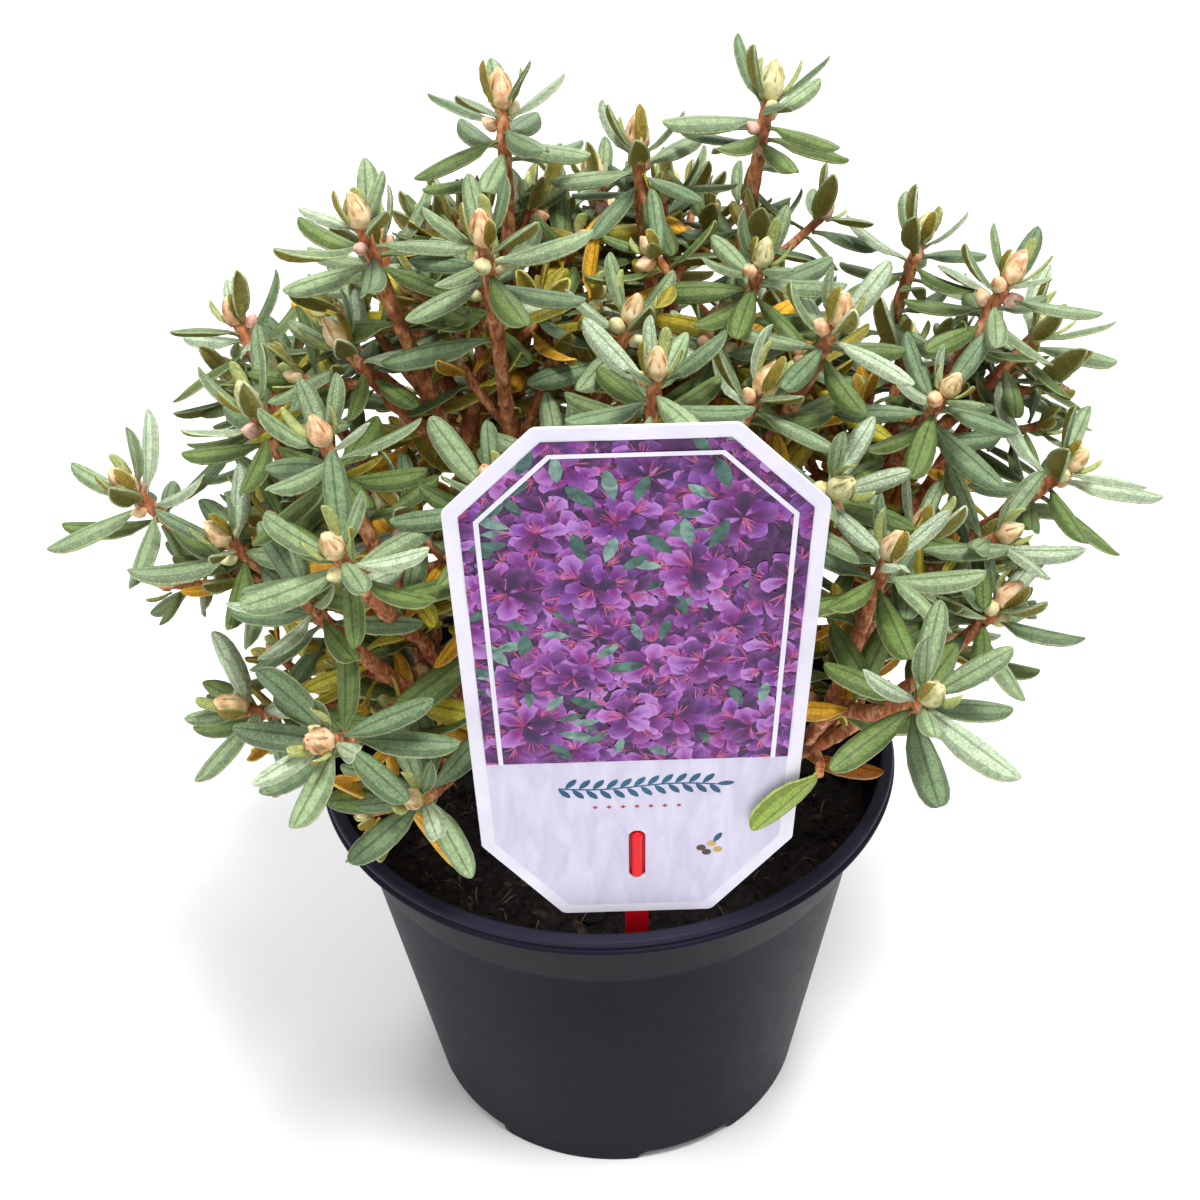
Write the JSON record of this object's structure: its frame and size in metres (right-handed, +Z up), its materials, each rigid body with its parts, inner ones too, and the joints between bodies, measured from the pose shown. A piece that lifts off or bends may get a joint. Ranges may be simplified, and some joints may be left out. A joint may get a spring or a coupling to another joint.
{
  "type": "potted dwarf rhododendron",
  "caption": "Young dwarf rhododendron in bud, a bushy crown of leafy shoots on spreading boughs, in a round plastic nursery pot of soil with a picture label on a stick.",
  "frame": {"origin": "centre of the pot's flat underside", "axes": "+Z up the pot's axis, -Y to the front, where the label stands, +X to the right seen from the front"},
  "size_m": [0.2857, 0.2408, 0.3219],
  "materials": {
    "pot_plastic": "satin moulded black plastic",
    "soil": "moist dark peat with fibres and crumbs",
    "label_card": "smooth printed card",
    "label_stick": "glossy red plastic",
    "bark": "reddish-brown bark with leaf scars",
    "foliage": "leathery grey-green leaves with a scaly bloom"
  },
  "bodies": {
    "root": {"pot": "pot_plastic", "soil": "soil", "label_card": "label_card", "label_stick": "label_stick", "trunk": "bark", "bough_back_left": "bark", "bough_back_right": "bark", "bough_front": "bark", "bough_left": "bark", "bough_left_front": "bark", "bough_right": "bark", "bough_right_front": "bark", "bough_top_left": "bark", "bough_top_right": "bark", "foliage_back": "foliage", "foliage_back_left": "foliage", "foliage_back_outer": "foliage", "foliage_back_right": "foliage", "foliage_front_high": "foliage", "foliage_front_left": "foliage", "foliage_front_low": "foliage", "foliage_left_back": "foliage", "foliage_left_front": "foliage", "foliage_left_high": "foliage", "foliage_left_inner": "foliage", "foliage_left_low": "foliage", "foliage_left_outer": "foliage", "foliage_right": "foliage", "foliage_right_back": "foliage", "foliage_right_front": "foliage", "foliage_right_high": "foliage", "foliage_right_low": "foliage", "foliage_right_outer": "foliage", "foliage_top_back": "foliage", "foliage_top_back_left": "foliage", "foliage_top_front": "foliage", "foliage_top_left": "foliage", "foliage_top_right": "foliage"}
  },
  "joints": []
}
